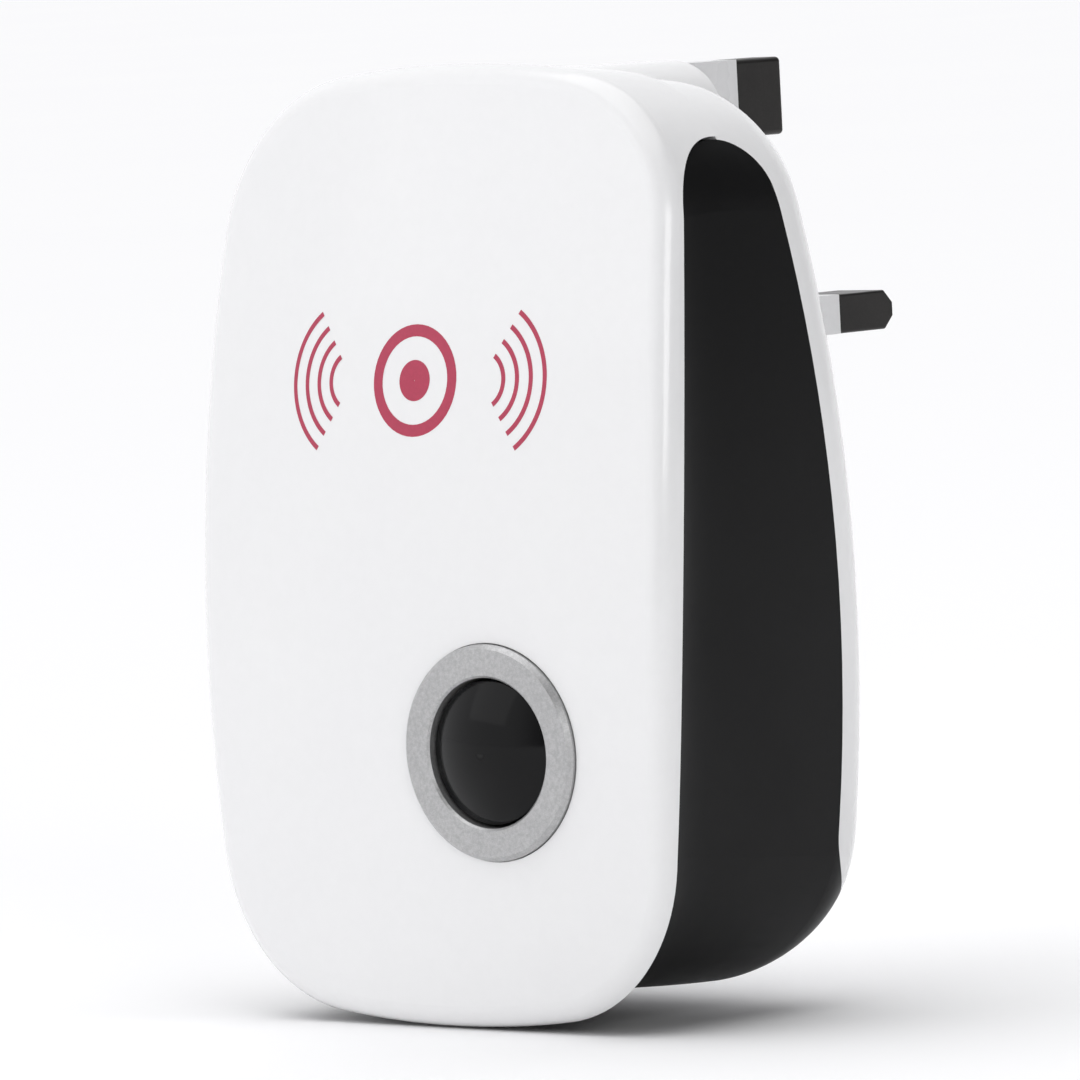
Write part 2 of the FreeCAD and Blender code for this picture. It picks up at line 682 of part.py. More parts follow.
def plug_plate(outer):
    """The raised block whose flat front meets the socket: it sits on the rear cover's outside, and a
    narrower hollow neck passes through the cover to a flange inside."""
    block = plate_block("plate_face_block", 0, -value("plate_reach"), 0)
    dress(block, "Fillet", "plate_edge", lambda edge: abs(edge.BoundBox.YMin) < 1e-3
          and edge.BoundBox.YLength < 1e-3)
    hull_copy = doc.addObject("Part::Compound", "hull_in_place")
    hull_copy.Links = [outer]
    hull_copy.Placement = CASE
    seated = cut("plate_seated", block, hull_copy)
    inside = -value("plate_reach + plate_flange")
    neck = plate_block("plate_neck", -value("plate_step"), inside, -2)
    flange = box("plate_flange_bar", "plate_flange_width", "plate_flange", "plate_flange_height",
                 Vector(-value("plate_flange_width/2"), inside, value("plate_bottom + plate_step") - 1.2))
    hollow = plate_block("plate_hollow", -value("plate_step + plate_wall"), -30, -value("plate_wall"))
    holes = [pin_block(f"plate_hole{side}", "pin_width", "pin_thick", -20, 5, side * value("pin_spacing/2"), 0)
             for side in (-1, 1)]
    holes.append(pin_block("plate_hole0", "earth_width", "earth_height", -20, 5, 0, value("pin_spacing")))
    whole = cut("plug_plate", fuse("plate_necked", [seated, neck, flange]),
                fuse("plate_holes", [hollow] + holes))
    finish(whole, "plug_plate", HERE)


def pin_block(name, width, height, start, end, across, up):
    """A rectangular bar along y from start to end, centred on a pin's place."""
    corner = Vector(across - value(width) / 2, start, up - value(height) / 2)
    return box(name, width, str(end - start), height, corner)


def pin(label, across, up, width, height, core_width, core_height, length, chamfer):
    """A pin: a narrow core inside the sleeve, a full-size end, and a tail for its lead."""
    sleeve = value("sleeve_length")
    body = new_body(label)
    core = sketch_on(body, "XZ_Plane", label + "_core", "pin_root")
    half_width, half_height = core_width + "/2", core_height + "/2"
    rectangle(core, "- " + half_width, half_width, "- " + half_height, half_height)
    pad(body, core, "pin_root + sleeve_length + 1", backwards=True)
    doc.recompute()
    end = sketch_on(body, "XZ_Plane", label + "_end", "- sleeve_length")
    half_width, half_height = width + "/2", height + "/2"
    rectangle(end, "- " + half_width, half_width, "- " + half_height, half_height)
    pad(body, end, f"{length} - sleeve_length", backwards=True)
    tip = value(length)
    if chamfer:
        dress(body, "Chamfer", "pin_tip_chamfer", lambda edge: abs(edge.BoundBox.YMin - tip) < 1e-3
              and edge.BoundBox.XLength > 1 and edge.BoundBox.YLength < 1e-3)
    dress(body, "Fillet", "earth_edge/2" if chamfer else "earth_edge",
          lambda edge: edge.BoundBox.YMin > sleeve + 0.1
          or (edge.BoundBox.YLength > 3 and edge.BoundBox.YMin > sleeve - 0.01))
    finish(body, label, Placement(Vector(across, 0, up), Rotation()))


def sleeve(label, across, up, width, height, core_width, core_height):
    """The white insulation round a pin's root, from inside the plate out to the pin's bare end."""
    start = -value("plate_wall")
    outer = pin_block(label + "_outer", width, height, start, value("sleeve_length"), across, up)
    inner = pin_block(label + "_inner", core_width, core_height, start - 1, value("sleeve_length") + 1,
                      across, up)
    finish(cut(label, outer, inner), label, HERE)


def pin_retainer():
    """A bar inside the plug plate that the three pins' roots pass through."""
    low = -value("retainer_height/2")
    across = value("retainer_width")
    start = -value("plate_wall + retainer_thick")
    bar = box("retainer_bar", "retainer_width", "retainer_thick", "retainer_height",
              Vector(-across / 2, start, low))
    post = box("retainer_upright", "retainer_post", "retainer_thick", "pin_spacing",
               Vector(-value("retainer_post/2"), start, 0))
    holes = [pin_block(f"retainer_hole{side}", "pin_core_width", "pin_core_thick", -10, 0,
                       side * value("pin_spacing/2"), 0) for side in (-1, 1)]
    holes.append(pin_block("retainer_hole0", "earth_core_width", "earth_core_height", -10, 0, 0,
                           value("pin_spacing")))
    finish(cut("pin_retainer", fuse("retainer_blank", [bar, post]), fuse("retainer_holes", holes)),
           "pin_retainer", HERE)


def mains_leads():
    """The two short leads from the pins' tails to the back of the circuit board."""
    board_back = CASE.multVec(Vector(0, value("board_depth + board_thick"), value("pin_rise"))).y
    for label, side in (("line_lead", 1), ("neutral_lead", -1)):
        start = Vector(side * value("pin_spacing/2"), board_back + 0.15, 0)
        lead = cylinder(label, "lead_radius", str(round(-value("pin_root") - start.y, 3)), start, BACK)
        finish(lead, label, lead.Placement)


# ---- circuit board and what is on it ----

def circuit_board():
    width, height = value("board_width"), value("board_height")
    level = value("board_level")
    blank = box("board_blank", "board_width", "board_thick", "board_height",
                Vector(-width / 2, value("board_depth"), level - height / 2))
    holes = [cylinder(f"board_hole{number}", "board_shank_radius + 0.1", "5",
                      Vector(across, value("board_depth") - 1, up), BACK)
             for number, (across, up) in enumerate(board_screws)]
    finish(cut("circuit_board", blank, fuse("board_holes", holes)), "circuit_board", CASE)


def on_board(label, width, height, thick, across, up, round_edges="0.4", front=False):
    """A box-shaped component on the board's back, or on its front, centred at (across, up)."""
    depth = value("board_depth") - value(thick) if front else value("board_depth + board_thick")
    body = new_body(label)
    base = sketch_on(body, "XZ_Plane", label + "_base", f"- {depth}")
    rectangle(base, "- " + width + "/2", width + "/2", "- " + height + "/2", height + "/2")
    pad(body, base, thick, backwards=True)
    dress(body, "Fillet", round_edges, lambda edge: edge.BoundBox.YLength < 1e-3
          and (edge.BoundBox.YMin < depth + 1e-3) == front)
    finish(body, label, CASE.multiply(Placement(Vector(across, 0, up), Rotation())))


def cans(label, places, radius, length):
    """Round components standing on the board's back, with a rolled rim at each top."""
    made = []
    for number, (across, up) in enumerate(places):
        start = Vector(across, value("board_depth + board_thick"), up)
        body = cylinder(f"{label}_body{number}", radius, length, start, BACK)
        groove = doc.addObject("Part::Torus", f"{label}_groove{number}")
        bind(groove, "Radius1", radius + " + 0.15")
        groove.Radius2 = 0.4
        groove.Placement = Placement(start + BACK * 1.6, Rotation(Vector(0, 0, 1), BACK))
        made.append(cut(f"{label}{number}", body, groove))
    finish(group(label, made), label, CASE)


def lying(label, places, radius, length):
    """Axial components lying across the board's back."""
    made = []
    for number, (across, up) in enumerate(places):
        start = Vector(across - value(length) / 2, value("board_depth + board_thick") + value(radius), up)
        made.append(cylinder(f"{label}{number}", radius, length, start, Vector(1, 0, 0)))
    finish(group(label, made), label, CASE)


def leds():
    """Two small lamps on the board's front, either side of the switch."""
    made = []
    for number, side in enumerate((-1, 1)):
        start = Vector(value("button_across") + side * 7, value("board_depth"), value("button_level") + 1)
        stem = cylinder(f"lamp_stem{number}", "1.5", "2.5", start, BACK * -1)
        tip = doc.addObject("Part::Sphere", f"lamp_tip{number}")
        tip.Radius = 1.5
        tip.Placement = Placement(start - BACK * 2.5, Rotation())
        made.append(fuse(f"lamp{number}", [stem, tip]))
    finish(group("night_light_leds", made), "night_light_leds", CASE)


def switch():
    """The switch under the button: a square body with a bore, and the plunger in it."""
    depth = value("board_depth") - value("switch_thick")
    inward = -OUTWARD
    reach = (depth - button_spot.y) / inward.y
    centre = button_spot + inward * reach
    across, up = round(centre.x, 2), round(centre.z, 2)
    start = Vector(across, value("plunger_depth"), up)
    body = box("switch_block", "switch_width", "switch_thick", "switch_width",
               Vector(across - value("switch_width/2"), depth, up - value("switch_width/2")))
    bore = cylinder("switch_bore", "plunger_radius + plunger_slack",
                    "plunger_length + button_travel + bore_play", start, BACK)
    finish(cut("switch_body", body, bore), "switch_body", CASE)
    plunger = cylinder("switch_plunger", "plunger_radius", "plunger_length", start, BACK)
    finish(plunger, "switch_plunger", CASE.multiply(plunger.Placement))


# ---- sound outlet ----

def transducer():
    """The ultrasonic can, facing down over the slots, on a rubber ring and a dust mesh."""
    middle = Vector(0, value("transducer_depth"), value("transducer_bottom"))
    can = turned("transducer_can", [
        ("0", "1"), ("transducer_radius - 1.5", "1"), ("transducer_radius - 1.5", "0"),
        ("transducer_radius", "0"), ("transducer_radius", "transducer_height"), ("0", "transducer_height")])
    finish(can, "transducer", CASE.multiply(Placement(middle, Rotation())))
    gasket = turned("gasket_ring", [
        ("gasket_bore", "- gasket_thick + mesh_thick"), ("transducer_radius", "- gasket_thick + mesh_thick"),
        ("transducer_radius", "0"), ("gasket_bore", "0")])
    finish(gasket, "transducer_gasket", CASE.multiply(Placement(middle, Rotation())))
    mesh = doc.addObject("Part::Cylinder", "mesh_disc")
    bind(mesh, "Radius", "transducer_radius - 0.1")
    bind(mesh, "Height", "mesh_thick")
    low = middle - Vector(0, 0, value("gasket_thick"))
    finish(mesh, "dust_mesh", CASE.multiply(Placement(low, Rotation())))
    top = value("transducer_bottom + transducer_height")
    wires = []
    for number, side in enumerate((-1, 1)):
        wires.append(cylinder(f"thin_lead{number}", "0.4", "5.5", Vector(side * 2.5, middle.y, top),
                              Vector(0, 0, 1)))
    finish(group("transducer_leads", wires), "transducer_leads", CASE)


front_cover()
bezel_ring()
button_cap()
hull, shell, leaf_body = case_shell()
side_band(shell, leaf_body)
rear_cover(hull, shell, leaf_body)
plug_plate(hull)
for label, side in (("line_pin", 1), ("neutral_pin", -1)):
    pin(label, side * value("pin_spacing/2"), 0, "pin_width", "pin_thick", "pin_core_width",
        "pin_core_thick", "pin_length", True)
    sleeve(label + "_sleeve", side * value("pin_spacing/2"), 0, "pin_width", "pin_thick",
           "pin_core_width", "pin_core_thick")
pin("earth_pin", 0, value("pin_spacing"), "earth_width", "earth_height", "earth_core_width",
    "earth_core_height", "earth_length", False)
sleeve("earth_pin_sleeve", 0, value("pin_spacing"), "earth_width", "earth_height", "earth_core_width",
       "earth_core_height")
pin_retainer()
mains_leads()
circuit_board()
switch()
leds()
transducer()
on_board("film_capacitor", "17", "7", "12", -9, 1.5, "0.8")
on_board("bridge_rectifier", "8", "6.4", "2.8", 11, 1.5)
on_board("controller_chip", "9.8", "6.4", "3.2", 4, -21.5)
cans("smoothing_capacitors", [(-12.5, -9.5), (-2, -9.5)], "4", "12")
cans("inductor", [(10.5, -9)], "4.4", "8")
lying("fuse_resistor", [(-11, 11)], "1.8", "10")
lying("resistors", [(-2, 23), (-2, 19.5), (5, 12), (5, 15.5), (-12, -17.5)], "1.1", "6.5")
screws("case_screws", case_screws, "head_seat", "head_radius", "head_thick", "shank_radius",
       "screw_length")
screws("board_screws", board_screws, "board_depth + board_thick", "board_head_radius",
       "board_head_thick", "board_shank_radius", "board_screw_length")

doc.recompute()
for thing in doc.Objects:
    if {"Invalid", "Error"} & set(thing.State):
        raise RuntimeError(f"{thing.Name} failed: {thing.State}")
for thing in subparts:
    if thing.Shape.isNull() or not thing.Shape.isValid() or thing.Shape.Volume <= 0:
        raise RuntimeError(f"{thing.Label} has no valid shape")
os.makedirs("parts", exist_ok=True)
for thing in subparts:
    thing.Shape.exportStep(f"parts/{thing.Label}.step")
    print(f"{thing.Label:24s} {thing.Shape.Volume:9.1f} mm3, {len(thing.Shape.Solids)} solid(s)")
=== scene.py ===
import json
import math

import bmesh
import bpy
from mathutils import Matrix, Vector


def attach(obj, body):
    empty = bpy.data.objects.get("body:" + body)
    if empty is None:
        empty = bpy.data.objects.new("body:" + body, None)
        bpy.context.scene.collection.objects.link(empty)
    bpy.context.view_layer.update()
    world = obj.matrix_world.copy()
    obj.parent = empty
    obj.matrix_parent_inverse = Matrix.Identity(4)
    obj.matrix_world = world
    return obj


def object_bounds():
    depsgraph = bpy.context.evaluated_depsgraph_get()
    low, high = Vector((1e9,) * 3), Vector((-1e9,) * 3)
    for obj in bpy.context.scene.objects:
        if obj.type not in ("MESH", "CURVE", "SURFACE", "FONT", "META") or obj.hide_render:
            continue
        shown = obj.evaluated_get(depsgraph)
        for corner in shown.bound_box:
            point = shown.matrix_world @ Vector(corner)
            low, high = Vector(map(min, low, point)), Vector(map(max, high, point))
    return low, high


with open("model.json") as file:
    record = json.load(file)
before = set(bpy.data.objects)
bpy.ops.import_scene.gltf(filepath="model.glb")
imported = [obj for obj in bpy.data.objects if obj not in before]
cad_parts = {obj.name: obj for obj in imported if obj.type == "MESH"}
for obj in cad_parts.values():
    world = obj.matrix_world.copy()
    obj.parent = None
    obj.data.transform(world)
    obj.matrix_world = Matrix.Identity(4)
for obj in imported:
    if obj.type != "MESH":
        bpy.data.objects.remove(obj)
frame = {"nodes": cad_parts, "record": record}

cad_low, cad_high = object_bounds()

MM = 0.001
LEAN = math.radians(4.4)           # between the case's upright and the wall's
PLUG_DEPTH = 41 * MM               # from the face's highest point back to the socket face
PIN_RISE = 19.5 * MM               # the pins' height above the case's middle
FACE_ACROSS, FACE_UP = 230 * MM, 250 * MM    # radii of the domed face, side to side and up and down
# CASE takes the case's own frame (x right, y back from the face, z up from mid height) to the part's
CASE = Matrix.Translation((0, -PLUG_DEPTH, -PIN_RISE)) @ Matrix.Rotation(-LEAN, 4, "X")


# ---- materials ----

def linear(code):
    """An sRGB hex colour as linear RGBA."""
    parts = [int(code[i:i + 2], 16) / 255 for i in (0, 2, 4)]
    return tuple(p / 12.92 if p <= 0.04045 else ((p + 0.055) / 1.055) ** 2.4 for p in parts) + (1.0,)


def add(tree, kind, inputs=(), **settings):
    """Adds a node: settings are its properties, and each input is a value or another node's output."""
    node = tree.nodes.new(kind)
    for name, setting in settings.items():
        setattr(node, name, setting)
    for name, source in dict(inputs).items():
        if isinstance(source, bpy.types.NodeSocket):
            tree.links.new(source, node.inputs[name])
        else:
            node.inputs[name].default_value = source
    return node


# a Mix node keeps its colour inputs and output at these places
COLOUR_A, COLOUR_B, COLOUR_OUT = 6, 7, 2
CLOUD_RANGE = {"From Min": 0.3, "From Max": 0.7}      # where most of a cloud's values lie
GRAIN_RANGE = {"From Min": 0.35, "From Max": 0.65}    # and most of the fine grain's
SPECKLE_DEPTH = 0.2                                   # how much full mottle darkens the grain


def surface(name, light, dark, rough, spread=0.05, grain=900, cloud=60, bump=0.02, mottle=0.3,
            flakes=None, **shader):
    """A finish with slow colour clouds, fine grain in the colour and a shallow bump.

    light and dark are the two ends of the colour, grain, cloud and flakes are pattern scales per
    metre, spread is how far the roughness wanders, bump is in millimetres, mottle is how much the
    grain shows in the colour, and shader holds the shader's uniform values.
    """
    material = bpy.data.materials.new(name)
    material.use_nodes = True
    tree = material.node_tree
    tree.nodes.clear()
    place = add(tree, "ShaderNodeTexCoord").outputs["Object"]
    clouds = add(tree, "ShaderNodeTexNoise", {"Vector": place, "Scale": cloud, "Detail": 4.0,
                                              "Roughness": 0.55}).outputs["Fac"]
    fine = add(tree, "ShaderNodeTexNoise", {"Vector": place, "Scale": grain, "Detail": 3.0,
                                            "Roughness": 0.6}).outputs["Fac"]
    tint = add(tree, "ShaderNodeMix", {"Factor": clouds, COLOUR_A: linear(light), COLOUR_B: linear(dark)},
               data_type="RGBA").outputs[COLOUR_OUT]
    speckle = add(tree, "ShaderNodeMapRange", {"Value": fine, **GRAIN_RANGE, "To Max": 1.0,
                                               "To Min": 1 - mottle * SPECKLE_DEPTH})
    shades = [speckle.outputs["Result"]]
    if flakes:
        cells = add(tree, "ShaderNodeTexVoronoi", {"Vector": place, "Scale": flakes}).outputs["Distance"]
        glint = add(tree, "ShaderNodeMapRange", {"Value": cells, "From Min": 0.1, "From Max": 0.6,
                                                 "To Min": 1.0, "To Max": 0.84})
        shades.append(glint.outputs["Result"])
    for shade in shades:
        tint = add(tree, "ShaderNodeMix", {"Factor": 1.0, COLOUR_A: tint, COLOUR_B: shade},
                   data_type="RGBA", blend_type="MULTIPLY").outputs[COLOUR_OUT]
    wander = add(tree, "ShaderNodeMapRange", {"Value": clouds, **CLOUD_RANGE, "To Min": rough - spread,
                                              "To Max": rough + spread})
    relief = add(tree, "ShaderNodeBump", {"Height": fine, "Strength": 1.0, "Distance": bump * MM})
    base = add(tree, "ShaderNodeBsdfPrincipled", {"Base Color": tint, "Roughness": wander.outputs["Result"],
                                                  "Normal": relief.outputs["Normal"], **shader})
    add(tree, "ShaderNodeOutputMaterial", {"Surface": base.outputs["BSDF"]})
    return material


FINISHES = {
    # ABS from a polished mould: even white with soft, clear highlights
    "white_gloss": surface("gloss_white_abs", "F3F3F3", "EFEFF0", 0.17, 0.03, 700, 35, 0.0012, 0.05,
                           **{"Specular IOR Level": 0.5, "Coat Weight": 0.25, "Coat Roughness": 0.08}),
    # ABS from a finely textured mould: a deep black that takes only broad, dull highlights
    "black_satin": surface("satin_black_abs", "0F0F10", "0B0B0C", 0.38, 0.05, 5200, 45, 0.006, 0.5,
                           **{"Specular IOR Level": 0.17}),
    # metallic paint over plastic: satin grey with fine flakes that glint
    "silver_paint": surface("satin_silver_paint", "CDCDCD", "BFBFC0", 0.36, grain=2600, cloud=120,
                            bump=0.004, mottle=0.9, flakes=9000.0, Metallic=0.65),
    # polished black moulding: almost a mirror, with small sharp highlights
    "black_gloss": surface("gloss_black_button", "0B0B0C", "080809", 0.09, 0.02, 900, 50, 0.0008, 0.2,
                           **{"Specular IOR Level": 0.2}),
    # brass with a dark plating: a dull metal that has lost most of its shine
    "dark_pin": surface("dark_plated_brass", "343231", "2A2928", 0.38, 0.08, 3200, 160, 0.004, 0.6,
                        Metallic=0.55),
    # moulded pin insulation: slightly greyer and duller than the case
    "white_sleeve": surface("white_pin_insulation", "E6E6E7", "DEDEDF", 0.3, 0.04, 1600, 80, 0.002, 0.1),
    # moulded nylon: a waxy grey
    "grey_nylon": surface("grey_nylon", "A8A8A4", "98978F", 0.5),
    # extruded PVC insulation: plain colours with a soft shine
    "brown_insulation": surface("brown_pvc", "5A3520", "4A2C1B", 0.4),
    "blue_insulation": surface("blue_pvc", "1F4FA8", "1A448F", 0.4),
    "red_insulation": surface("red_pvc", "A82222", "8E1C1C", 0.4),
    # lacquer over glass laminate: a cloudy green with a faint weave
    "green_board": surface("green_solder_mask", "1E6B38", "185A2E", 0.33, 0.06, 1500, 150, 0.01),
    # small moulded housing: plain dark grey
    "switch_black": surface("black_switch_moulding", "202020", "191919", 0.45),
    # cast resin: milky and partly see-through
    "lamp_resin": surface("milky_lamp_resin", "E4EAF4", "D5DDEA", 0.15, 0.03,
                          **{"Transmission Weight": 0.3}),
    # drawn aluminium: a bright, slightly brushed metal
    "aluminium_can": surface("drawn_aluminium", "C6C7C9", "B7B8BA", 0.3, 0.07, 2200, 200, 0.004, 0.4,
                             Metallic=1.0),
    # moulded rubber: matt black
    "black_rubber": surface("black_rubber", "1A1A1A", "141414", 0.75, 0.08, 2400, 120, 0.02),
    # woven nylon: matt, with a coarse grain in place of its threads
    "mesh_fabric": surface("woven_dust_mesh", "2A2A2A", "1B1B1B", 0.85, 0.05, 6000, 200, 0.05),
    # moulded polyester box: plain yellow
    "yellow_case": surface("yellow_capacitor_case", "D8B42C", "CBA622", 0.38),
    # filled epoxy: matt, faintly gritty black
    "chip_epoxy": surface("black_chip_epoxy", "1C1C1D", "161617", 0.6, 0.06, 4000, 200, 0.01),
    # shrunk PVC film: dark blue with a clear shine
    "capacitor_sleeve": surface("blue_black_shrink_sleeve", "1C2338", "151B2D", 0.25),
    # pressed ferrite: matt charcoal
    "ferrite": surface("ferrite_drum", "3A3836", "2D2B2A", 0.7, 0.05, 3000, 200, 0.02),
    # fired cement: chalky off-white
    "resistor_cement": surface("white_cement_resistor", "CFCFC2", "BDBDAF", 0.7, 0.05, 3500, 200, 0.03),
    # dipped lacquer: beige with a soft shine
    "resistor_lacquer": surface("beige_resistor_lacquer", "C9A878", "BA9766", 0.35),
    # zinc plating: a pale metal, patchy in its shine
    "zinc_steel": surface("zinc_plated_steel", "B9BBBD", "A3A6A9", 0.32, 0.08, 2500, 300, 0.006, 0.4,
                          Metallic=1.0),
}
# pad-printing ink: a thin magenta-red film, duller than the gloss round it
PRINT = surface("magenta_print", "BC3A58", "B02F4E", 0.34, 0.04, 2600, 120, 0.002, 0.4)

for part in frame["record"]["subparts"]:
    node = frame["nodes"][part["node"]]
    node.data.materials.clear()
    node.data.materials.append(FINISHES[part["material_slot"]])


# ---- the printed mark: a disc in a ring between two sets of arcs ----

MARK_LEVEL = 16.4 * MM                          # above the case's middle
INK_LIFT, INK_DEPTH = 0.02 * MM, 0.03 * MM      # the film starts proud of the face and ends inside it
STEPS_ROUND, STEPS_ACROSS = 49, 3               # points along an arc and across its line
MERGE = 0.002 * MM
SIZE_INPUTS = ("First radius", "Pitch", "Width", "Sweep", "Centre", "Height", "Lift")


def mark_tree():
    """Arcs: strips in (angle, radius), stacked by a line of points, bent to arcs, laid on the face."""
    tree = bpy.data.node_groups.new("printed_arcs", "GeometryNodeTree")
    tree.interface.new_socket("Geometry", in_out="OUTPUT", socket_type="NodeSocketGeometry")
    tree.interface.new_socket("Count", in_out="INPUT", socket_type="NodeSocketInt")
    for name in SIZE_INPUTS:
        tree.interface.new_socket(name, in_out="INPUT", socket_type="NodeSocketFloat")
    tree.interface.new_socket("Print", in_out="INPUT", socket_type="NodeSocketMaterial")
    sizes = add(tree, "NodeGroupInput").outputs

    pitch = add(tree, "ShaderNodeCombineXYZ", {"Y": sizes["Pitch"]}).outputs[0]
    first = add(tree, "ShaderNodeCombineXYZ", {"Y": sizes["First radius"]}).outputs[0]
    rows = add(tree, "GeometryNodeMeshLine", {"Count": sizes["Count"], "Start Location": first,
                                              "Offset": pitch}, mode="OFFSET")
    strip = add(tree, "GeometryNodeMeshGrid", {"Size X": sizes["Sweep"], "Size Y": sizes["Width"],
                                               "Vertices X": STEPS_ROUND, "Vertices Y": STEPS_ACROSS})
    copies = add(tree, "GeometryNodeInstanceOnPoints", {"Points": rows.outputs["Mesh"],
                                                        "Instance": strip.outputs["Mesh"]})
    flat = add(tree, "GeometryNodeRealizeInstances", {"Geometry": copies.outputs["Instances"]})

    here = add(tree, "GeometryNodeInputPosition").outputs["Position"]
    angle, radius = add(tree, "ShaderNodeSeparateXYZ", {"Vector": here}).outputs[:2]
    cosine = add(tree, "ShaderNodeMath", {0: angle}, operation="COSINE").outputs[0]
    sine = add(tree, "ShaderNodeMath", {0: angle}, operation="SINE").outputs[0]
    across = add(tree, "ShaderNodeMath", {0: radius, 1: cosine, 2: sizes["Centre"]},
                 operation="MULTIPLY_ADD").outputs[0]
    up = add(tree, "ShaderNodeMath", {0: radius, 1: sine, 2: sizes["Height"]},
             operation="MULTIPLY_ADD").outputs[0]
    # the face is an arc of radius FACE_ACROSS turned about an axis FACE_UP behind its highest point,
    # so its depth is found by the same step twice, first across and then up
    reach = FACE_ACROSS
    for offset, behind in ((across, FACE_UP - FACE_ACROSS), (up, 0.0)):
        whole = add(tree, "ShaderNodeMath", {0: reach, 1: reach}, operation="MULTIPLY").outputs[0]
        part = add(tree, "ShaderNodeMath", {0: offset, 1: offset}, operation="MULTIPLY").outputs[0]
        rest = add(tree, "ShaderNodeMath", {0: whole, 1: part}, operation="SUBTRACT").outputs[0]
        root = add(tree, "ShaderNodeMath", {0: rest}, operation="SQRT").outputs[0]
        reach = add(tree, "ShaderNodeMath", {0: root, 1: behind}, operation="ADD").outputs[0]
    depth = add(tree, "ShaderNodeMath", {0: FACE_UP, 1: reach}, operation="SUBTRACT").outputs[0]
    raised = add(tree, "ShaderNodeMath", {0: depth, 1: sizes["Lift"]}, operation="SUBTRACT").outputs[0]

    target = add(tree, "ShaderNodeCombineXYZ", {"X": across, "Y": raised, "Z": up}).outputs[0]
    bent = add(tree, "GeometryNodeSetPosition", {"Geometry": flat.outputs["Geometry"], "Position": target})
    inked = add(tree, "GeometryNodeSetMaterial", {"Geometry": bent.outputs["Geometry"],
                                                  "Material": sizes["Print"]})
    add(tree, "NodeGroupOutput", {"Geometry": inked.outputs["Geometry"]})
    return tree


def grown(name, tree, settings):
    """A plain mesh made by a Geometry Nodes tree with the given named inputs."""
    seed = bpy.data.objects.new(name + "_seed", bpy.data.meshes.new(name + "_seed"))
    bpy.context.scene.collection.objects.link(seed)
    modifier = seed.modifiers.new("grow", "NODES")
    modifier.node_group = tree
    for item in tree.interface.items_tree:
        if item.in_out == "INPUT" and item.name in settings:
            modifier[item.identifier] = settings[item.name]
    bpy.context.view_layer.update()
    done = bpy.data.meshes.new_from_object(seed.evaluated_get(bpy.context.evaluated_depsgraph_get()))
    bpy.data.objects.remove(seed)
    return done


def printed_mark():
    """Sound waves either side of a disc in a ring, a thin closed film of ink on the front face."""
    tree = mark_tree()
    shared = {"Height": MARK_LEVEL, "Lift": INK_LIFT, "Print": PRINT}
    waves = {"Count": 4, "First radius": 2.9 * MM, "Pitch": 1.74 * MM, "Width": 0.5 * MM,
             "Sweep": math.radians(112), "Centre": 8.8 * MM}
    whole_turn = {"Count": 1, "Pitch": 0.0, "Sweep": math.radians(360), "Centre": 0.0}
    ring = {**whole_turn, "First radius": 5 * MM, "Width": 1.2 * MM}
    disc = {**whole_turn, "First radius": 1.05 * MM, "Width": 2.0 * MM}
    mesh = bmesh.new()
    mesh.from_mesh(grown("waves", tree, {**shared, **waves}))
    mirrored = bmesh.ops.duplicate(mesh, geom=mesh.verts[:] + mesh.edges[:] + mesh.faces[:])["geom"]
    for vert in corners_of(mirrored):
        vert.co.x = -vert.co.x
    for name, settings in (("ring", ring), ("disc", disc)):
        mesh.from_mesh(grown(name, tree, {**shared, **settings}))
    bmesh.ops.remove_doubles(mesh, verts=mesh.verts, dist=MERGE)
    bmesh.ops.recalc_face_normals(mesh, faces=mesh.faces)
    film = bmesh.ops.extrude_face_region(mesh, geom=mesh.faces[:])["geom"]
    for vert in corners_of(film):
        vert.co.y += INK_DEPTH
    bmesh.ops.recalc_face_normals(mesh, faces=mesh.faces)
    bmesh.ops.transform(mesh, matrix=CASE, verts=mesh.verts)
    for face in mesh.faces:
        face.material_index = 0
        face.smooth = False
    data = bpy.data.meshes.new("printed_mark")
    mesh.to_mesh(data)
    mesh.free()
    data.materials.append(PRINT)
    piece = bpy.data.objects.new("printed_mark", data)
    bpy.context.scene.collection.objects.link(piece)
    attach(piece, "case")


def corners_of(geometry):
    return [item for item in geometry if isinstance(item, bmesh.types.BMVert)]


printed_mark()


# ---- floor, lights, sky and camera: not part of the object ----

FLOOR_REACH, FLOOR_GAP = 30.0, 0.2 * MM
# an area light's name, place, width and power
LAMPS = [("key", (-0.7, -1.1, 0.7), 0.9, 1.0), ("right", (1.0, -0.6, 0.35), 0.5, 2.6)]
AIM = Vector((0, -0.03, -0.02))                 # near the middle of the case
VIEW_TURN, VIEW_RISE, VIEW_DISTANCE = math.radians(43.13), math.radians(0.66), 1.0
LENS, SENSOR = 335.7, 36


def floor():
    """A level, pale floor just under the object."""
    base = cad_low[2] - FLOOR_GAP
    corners = [(x * FLOOR_REACH, y * FLOOR_REACH, base) for x, y in ((-1, -1), (1, -1), (1, 1), (-1, 1))]
    mesh = bpy.data.meshes.new("floor")
    mesh.from_pydata(corners, [], [(0, 1, 2, 3)])
    # matt paper: no shine at all, so that it meets the sky without an edge
    mesh.materials.append(surface("white_paper_floor", "FEFEFE", "FCFCFD", 0.9, 0.03, 800, 3, 0.01, 0.02,
                                  **{"Specular IOR Level": 0.0}))
    ground = bpy.data.objects.new("floor", mesh)
    bpy.context.scene.collection.objects.link(ground)


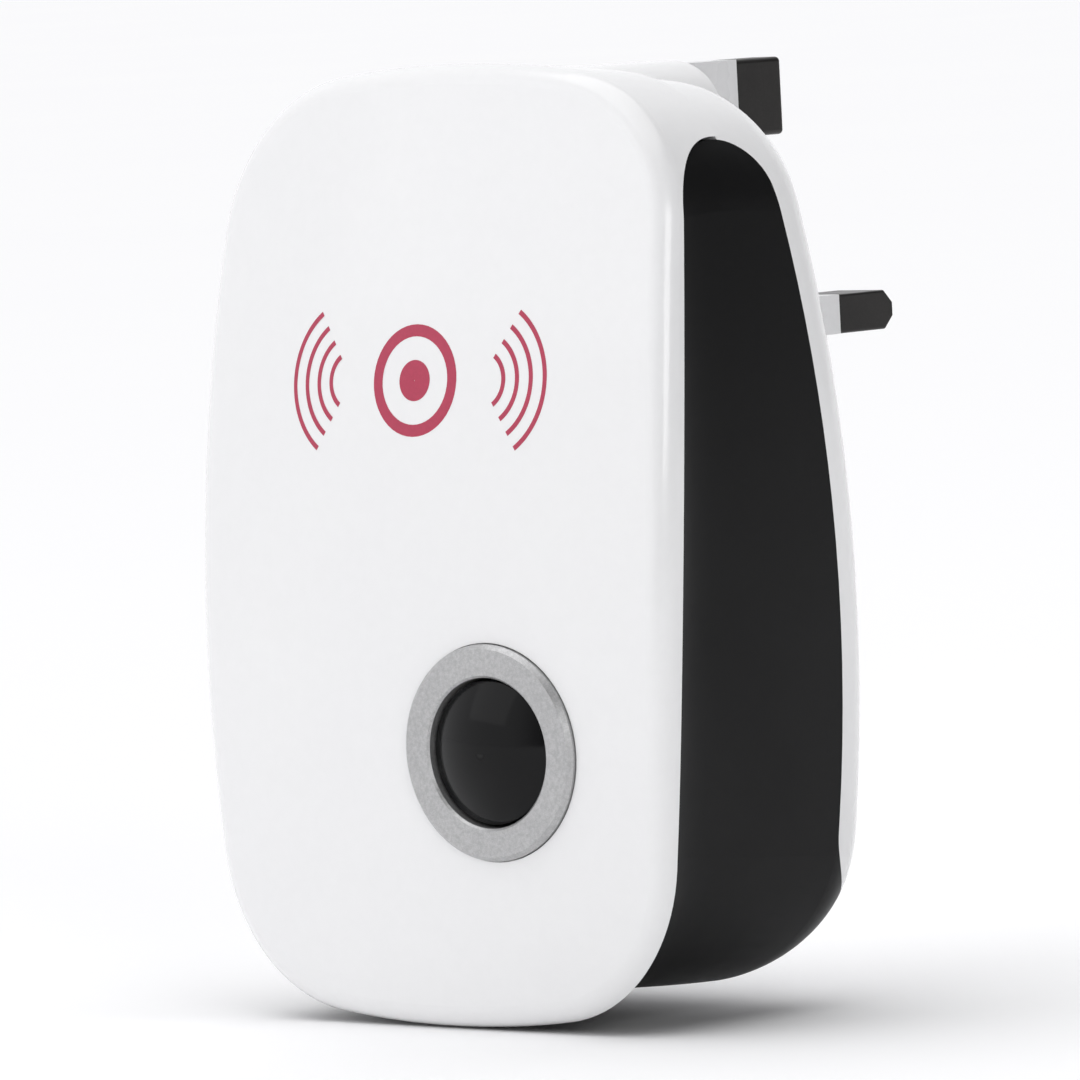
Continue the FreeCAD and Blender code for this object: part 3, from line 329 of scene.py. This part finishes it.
def lights():
    """Two area lights in front and a wide soft one overhead, which keeps the floor as pale as the sky."""
    for name, spot, width, power in LAMPS:
        data = bpy.data.lights.new(name, "AREA")
        data.size = width
        data.energy = power
        lamp = bpy.data.objects.new(name, data)
        lamp.location = spot
        lamp.rotation_euler = (AIM - Vector(spot)).to_track_quat("-Z", "Y").to_euler()
        bpy.context.scene.collection.objects.link(lamp)
    overhead = bpy.data.lights.new("overhead", "SUN")
    overhead.energy = 1.2
    overhead.angle = math.radians(70)
    bpy.context.scene.collection.objects.link(bpy.data.objects.new("overhead", overhead))


def sky():
    """Bright to the left, and dim to the right, where the black band faces."""
    world = bpy.data.worlds.new("studio")
    world.use_nodes = True
    tree = world.node_tree
    tree.nodes.clear()
    toward = add(tree, "ShaderNodeTexCoord").outputs["Generated"]
    sideways = add(tree, "ShaderNodeSeparateXYZ", {"Vector": toward}).outputs["X"]
    fade = add(tree, "ShaderNodeMapRange", {"Value": sideways, "From Min": -0.25, "From Max": 0.45,
                                            "To Min": 0.985, "To Max": 0.12},
               interpolation_type="SMOOTHSTEP").outputs["Result"]
    glow = add(tree, "ShaderNodeBackground", {"Color": linear("FDFDFF"), "Strength": fade})
    add(tree, "ShaderNodeOutputWorld", {"Surface": glow.outputs["Background"]})
    bpy.context.scene.world = world


def camera():
    """The view from the front right, level with the case's middle."""
    ahead = Vector((-math.sin(VIEW_TURN) * math.cos(VIEW_RISE), math.cos(VIEW_TURN) * math.cos(VIEW_RISE),
                    -math.sin(VIEW_RISE)))
    right = Vector((math.cos(VIEW_TURN), math.sin(VIEW_TURN), 0))
    facing = Matrix((right, right.cross(ahead), -ahead)).transposed().to_4x4()
    data = bpy.data.cameras.new("camera")
    data.sensor_width = SENSOR
    data.lens = LENS
    data.shift_x, data.shift_y = 0.1196, 0.0053
    data.clip_start = 0.01
    view = bpy.data.objects.new("camera", data)
    view.matrix_world = CASE @ Matrix.Translation(-ahead * VIEW_DISTANCE) @ facing
    bpy.context.scene.collection.objects.link(view)
    bpy.context.scene.camera = view


floor()
lights()
sky()
camera()
bpy.context.scene.view_settings.view_transform = "Standard"
